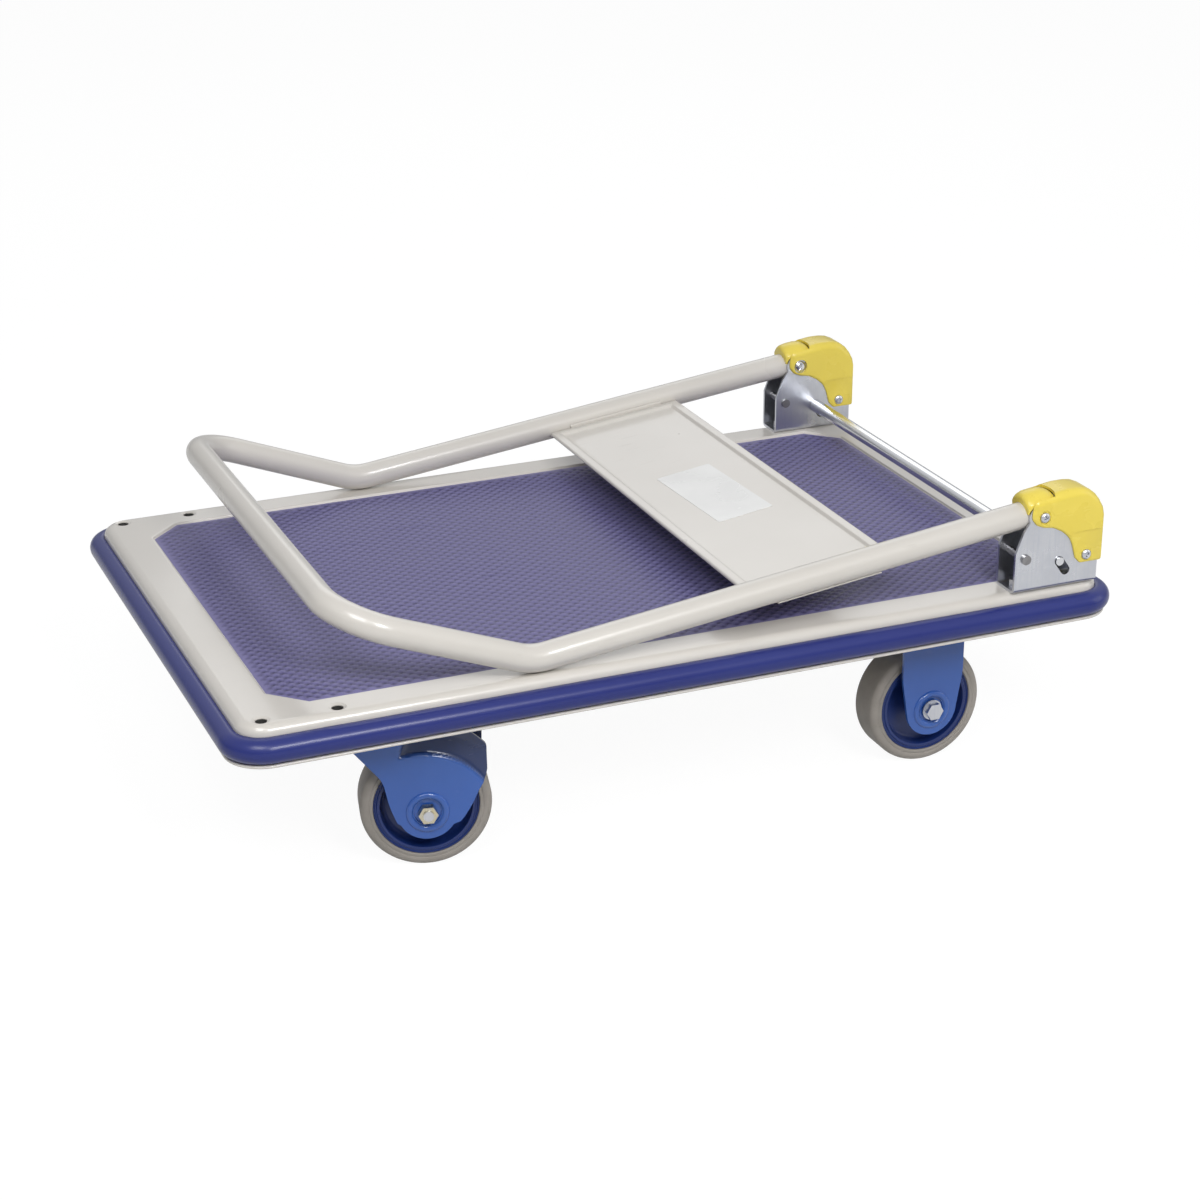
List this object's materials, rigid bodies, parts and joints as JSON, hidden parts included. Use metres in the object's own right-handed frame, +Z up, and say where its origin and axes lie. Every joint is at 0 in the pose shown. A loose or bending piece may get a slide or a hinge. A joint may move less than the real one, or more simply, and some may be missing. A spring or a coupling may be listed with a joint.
{
  "type": "folding platform cart",
  "caption": "Flat pressed-steel platform cart on swivel and fixed casters, with a cranked tubular handle that folds down onto the deck and a foot-operated lock bar.",
  "frame": {"origin": "on the floor under the middle of the deck", "axes": "+X along the deck to the end with the handle hinges, +Y across it to the user's right at that end, +Z up"},
  "size_m": [0.74, 0.475, 0.2373],
  "materials": {
    "cream_paint": "smooth enamel",
    "mat_rubber": "fine raised weave",
    "bumper_rubber": "glossy",
    "dark_paint": "enamel under the deck",
    "zinc": "bright zinc plating",
    "yellow_zinc": "yellow zinc plating",
    "bright_steel": "polished",
    "label_film": "plain film",
    "blue_paint": "gloss powder coat",
    "tyre_rubber": "moulded rubber",
    "wheel_plastic": "moulded",
    "yellow_plastic": "moulded"
  },
  "bodies": {
    "base": {"deck_plate": "cream_paint", "deck_mat": "mat_rubber", "bumper": "bumper_rubber", "cross_rail_front": "dark_paint", "cross_rail_rear": "dark_paint", "centre_stiffener": "dark_paint", "caster_bolts": "zinc", "caster_nuts": "zinc", "rear_axle_bolts": "zinc", "rear_axle_nuts": "zinc", "rear_axle_sleeves": "zinc", "bracket_bolts": "zinc", "bracket_nuts": "zinc", "stop_pins": "zinc", "cover_screws": "zinc", "swivel_plate_left": "blue_paint", "swivel_race_left": "zinc", "swivel_balls_left": "bright_steel", "kingpin_left": "zinc", "kingpin_nut_left": "zinc", "fixed_fork_left": "blue_paint", "hinge_bracket_left": "zinc", "pivot_pin_left": "bright_steel", "hinge_cover_left": "yellow_plastic", "lock_spring_left": "bright_steel", "swivel_plate_right": "blue_paint", "swivel_race_right": "zinc", "swivel_balls_right": "bright_steel", "kingpin_right": "zinc", "kingpin_nut_right": "zinc", "fixed_fork_right": "blue_paint", "hinge_bracket_right": "zinc", "pivot_pin_right": "bright_steel", "hinge_cover_right": "yellow_plastic", "lock_spring_right": "bright_steel"},
    "handle": {"handle_tube": "cream_paint", "handle_panel": "cream_paint", "panel_label": "label_film", "handle_boot_left": "yellow_plastic", "handle_boot_right": "yellow_plastic"},
    "lock": {"lock_bar": "bright_steel"},
    "swivel_left": {"swivel_fork_left": "blue_paint", "front_axle_bolt_left": "zinc", "front_axle_nut_left": "yellow_zinc", "front_axle_sleeve_left": "zinc"},
    "front_wheel_left": {"front_tyre_left": "tyre_rubber", "front_wheel_centre_left": "wheel_plastic"},
    "rear_wheel_left": {"rear_tyre_left": "tyre_rubber", "rear_wheel_centre_left": "wheel_plastic"},
    "swivel_right": {"swivel_fork_right": "blue_paint", "front_axle_bolt_right": "zinc", "front_axle_nut_right": "yellow_zinc", "front_axle_sleeve_right": "zinc"},
    "front_wheel_right": {"front_tyre_right": "tyre_rubber", "front_wheel_centre_right": "wheel_plastic"},
    "rear_wheel_right": {"rear_tyre_right": "tyre_rubber", "rear_wheel_centre_right": "wheel_plastic"}
  },
  "joints": [
    {"name": "handle_fold", "type": "hinge", "parent": "base", "child": "handle", "pos_m": [0.2944, 0, 0.2177], "axis": [0, 1, 0], "range_deg": [0, 97.03]},
    {"name": "lock_slide", "type": "slide", "parent": "base", "child": "lock", "axis": [0.583, 0, -0.8124], "range_m": [0, 0.01046], "stiffness_N_per_m": 1200, "springref_m": -0.01, "deforming": ["lock_spring_left", "lock_spring_right"]},
    {"name": "swivel_left_turn", "type": "hinge", "parent": "base", "child": "swivel_left", "pos_m": [-0.2445, -0.1673, 0.117], "axis": [0, 0, 1], "continuous": true},
    {"name": "front_wheel_left_spin", "type": "hinge", "parent": "swivel_left", "child": "front_wheel_left", "pos_m": [-0.2076, -0.17636, 0.05], "axis": [0.2385, 0.9711, 0], "continuous": true},
    {"name": "rear_wheel_left_spin", "type": "hinge", "parent": "base", "child": "rear_wheel_left", "pos_m": [0.2212, -0.1673, 0.05], "axis": [0, 1, 0], "continuous": true},
    {"name": "swivel_right_turn", "type": "hinge", "parent": "base", "child": "swivel_right", "pos_m": [-0.2445, 0.1673, 0.117], "axis": [0, 0, 1], "continuous": true},
    {"name": "front_wheel_right_spin", "type": "hinge", "parent": "swivel_right", "child": "front_wheel_right", "pos_m": [-0.2076, 0.15824, 0.05], "axis": [0.2385, 0.9711, 0], "continuous": true},
    {"name": "rear_wheel_right_spin", "type": "hinge", "parent": "base", "child": "rear_wheel_right", "pos_m": [0.2212, 0.1673, 0.05], "axis": [0, 1, 0], "continuous": true}
  ]
}
